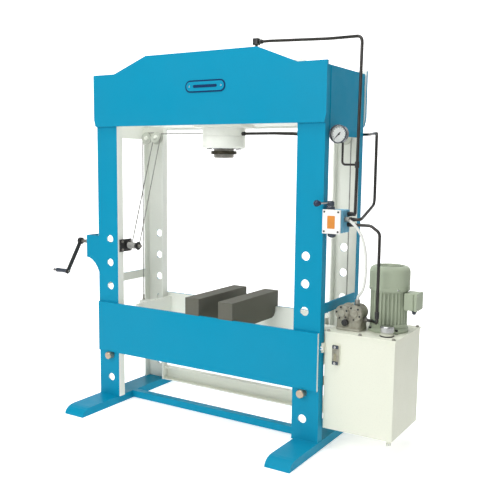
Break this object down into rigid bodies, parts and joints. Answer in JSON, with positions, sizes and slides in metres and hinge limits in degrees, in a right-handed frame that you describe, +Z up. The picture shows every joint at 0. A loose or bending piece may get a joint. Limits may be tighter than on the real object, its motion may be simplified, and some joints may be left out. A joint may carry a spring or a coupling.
{
  "type": "hydraulic shop press",
  "caption": "Upright workshop press: steel frame, hydraulic cylinder in the head, pinned bed raised by a hand winch with wire ropes, electric power pack at the side.",
  "frame": {"origin": "on the floor, at the middle of the plan outline of the whole machine", "axes": "+X to the power pack side, +Y towards the back, +Z up"},
  "size_m": [2.08, 0.81, 1.968],
  "materials": {
    "frame_blue": "gloss enamel",
    "frame_white": "gloss enamel",
    "tank_cream": "satin enamel",
    "motor_grey_green": "satin enamel",
    "cast_grey": "as cast",
    "machined_steel": "turned",
    "block_steel": "oiled dark steel",
    "pin_steel": "lightly rusted bar",
    "rope_steel": "stranded wire",
    "black_steel": "black",
    "black_plastic": "gloss",
    "valve_blue": "satin",
    "cap_chrome": "plated",
    "hose_grey": "matt"
  },
  "bodies": {
    "frame": {"upright_front_left": "frame_blue", "upright_front_right": "frame_blue", "upright_rear_left": "frame_blue", "upright_rear_right": "frame_blue", "head_plate_front": "frame_blue", "head_plate_rear": "frame_blue", "head_side_plate_left": "frame_blue", "head_side_plate_right": "frame_blue", "side_brace_left": "frame_blue", "side_brace_right": "frame_blue", "cylinder_plate_lower": "frame_white", "foot_left": "frame_blue", "foot_right": "frame_blue", "front_tie_bar": "frame_blue", "rear_lower_beam": "frame_blue", "cylinder_gland": "frame_white", "cylinder_barrel": "frame_white", "cylinder_cap": "frame_white", "winch_bracket": "frame_blue", "winch_bearing_plate": "block_steel", "sheave_hanger_left": "frame_white", "sheave_hanger_right": "frame_white", "rope_left": "rope_steel", "rope_right": "rope_steel", "rope_fall_left": "rope_steel", "rope_fall_right": "rope_steel", "tank_body": "tank_cream", "tank_lid": "tank_cream", "motor_body": "motor_grey_green", "fan_cowl": "motor_grey_green", "terminal_box": "motor_grey_green", "pump": "cast_grey", "manifold_block": "cast_grey", "valve_body": "valve_blue", "gauge_case": "black_plastic", "pressure_pipe": "black_steel", "return_pipe": "black_steel", "pump_pipe": "black_steel", "return_hose": "hose_grey"},
    "ram": {"ram": "machined_steel", "ram_collar": "block_steel"},
    "bed": {"bed_plate_front": "frame_blue", "bed_plate_rear": "frame_blue", "bed_end_left": "frame_white", "bed_end_right": "frame_white"},
    "pin_left": {"pin_left": "pin_steel"},
    "pin_right": {"pin_right": "pin_steel"},
    "block_left": {"press_block_left": "block_steel"},
    "block_right": {"press_block_right": "block_steel"},
    "winch": {"winch_shaft": "machined_steel", "winch_crank": "black_steel"},
    "grip": {"crank_grip": "black_plastic"},
    "sheave_riser_left": {"sheave_riser_left": "black_steel"},
    "sheave_riser_right": {"sheave_riser_right": "black_steel"},
    "sheave_fall_left": {"sheave_fall_left": "black_steel"},
    "sheave_fall_right": {"sheave_fall_right": "black_steel"},
    "lever": {"valve_lever": "black_plastic"},
    "needle": {"gauge_needle": "black_plastic"},
    "breather": {"filler_cap": "cap_chrome"},
    "rotor": {"motor_rotor": "machined_steel"}
  },
  "joints": [
    {"name": "ram_slide", "type": "slide", "parent": "frame", "child": "ram", "axis": [0, 0, -1], "range_m": [0, 0.3]},
    {"name": "bed_lift", "type": "slide", "parent": "frame", "child": "bed", "axis": [0, 0, 1], "range_m": [0, 0.39], "deforming": ["rope_fall_left", "rope_fall_right"]},
    {"name": "pin_left_slide", "type": "slide", "parent": "frame", "child": "pin_left", "axis": [0, -1, 0], "range_m": [0, 0.5]},
    {"name": "pin_right_slide", "type": "slide", "parent": "frame", "child": "pin_right", "axis": [0, -1, 0], "range_m": [0, 0.5]},
    {"name": "block_left_slide", "type": "slide", "parent": "bed", "child": "block_left", "axis": [1, 0, 0], "range_m": [-0.38, 0.04]},
    {"name": "block_right_slide", "type": "slide", "parent": "bed", "child": "block_right", "axis": [1, 0, 0], "range_m": [-0.04, 0.28]},
    {"name": "winch_turn", "type": "hinge", "parent": "frame", "child": "winch", "pos_m": [-0.738, -0.058, 0.892], "axis": [1, 0, 0], "range_deg": [-1225, 0]},
    {"name": "grip_spin", "type": "hinge", "parent": "winch", "child": "grip", "pos_m": [-0.978, -0.16389, 0.72706], "axis": [1, 0, 0], "continuous": true},
    {"name": "riser_left_turn", "type": "hinge", "parent": "frame", "child": "sheave_riser_left", "pos_m": [-0.583, 0.20556, 1.48773], "axis": [0, 0.9205, -0.3907], "range_deg": [0, 740]},
    {"name": "riser_right_turn", "type": "hinge", "parent": "frame", "child": "sheave_riser_right", "pos_m": [-0.583, 0.21844, 1.48227], "axis": [0, 0.9205, -0.3907], "range_deg": [-740, 0]},
    {"name": "fall_left_turn", "type": "hinge", "parent": "frame", "child": "sheave_fall_left", "pos_m": [-0.6627, 0.2174, 1.48533], "axis": [0, 1, 0], "range_deg": [0, 740]},
    {"name": "fall_right_turn", "type": "hinge", "parent": "frame", "child": "sheave_fall_right", "pos_m": [0.5867, 0.23028, 1.47986], "axis": [0, 1, 0], "range_deg": [-740, 0]},
    {"name": "lever_swing", "type": "hinge", "parent": "frame", "child": "lever", "pos_m": [0.677, -0.116, 1.176], "axis": [0, 0, 1], "range_deg": [0, 68]},
    {"name": "needle_turn", "type": "hinge", "parent": "frame", "child": "needle", "pos_m": [0.698, -0.098, 1.484], "axis": [0, 1, 0], "range_deg": [0, 270], "stiffness_Nm_per_rad": 0.004},
    {"name": "breather_turn", "type": "hinge", "parent": "frame", "child": "breather", "pos_m": [0.932, -0.028, 0.61], "axis": [0, 0, 1], "continuous": true},
    {"name": "rotor_spin", "type": "hinge", "parent": "frame", "child": "rotor", "pos_m": [0.892, 0.094, 0.7], "axis": [0, 0, 1], "continuous": true}
  ],
  "couplings": [
    {"joint": "winch_turn", "follows": "bed_lift", "rad_per_m": -54.645},
    {"joint": "riser_left_turn", "follows": "bed_lift", "rad_per_m": 33.003},
    {"joint": "riser_right_turn", "follows": "bed_lift", "rad_per_m": -33.003},
    {"joint": "fall_left_turn", "follows": "bed_lift", "rad_per_m": 33.003},
    {"joint": "fall_right_turn", "follows": "bed_lift", "rad_per_m": -33.003}
  ]
}
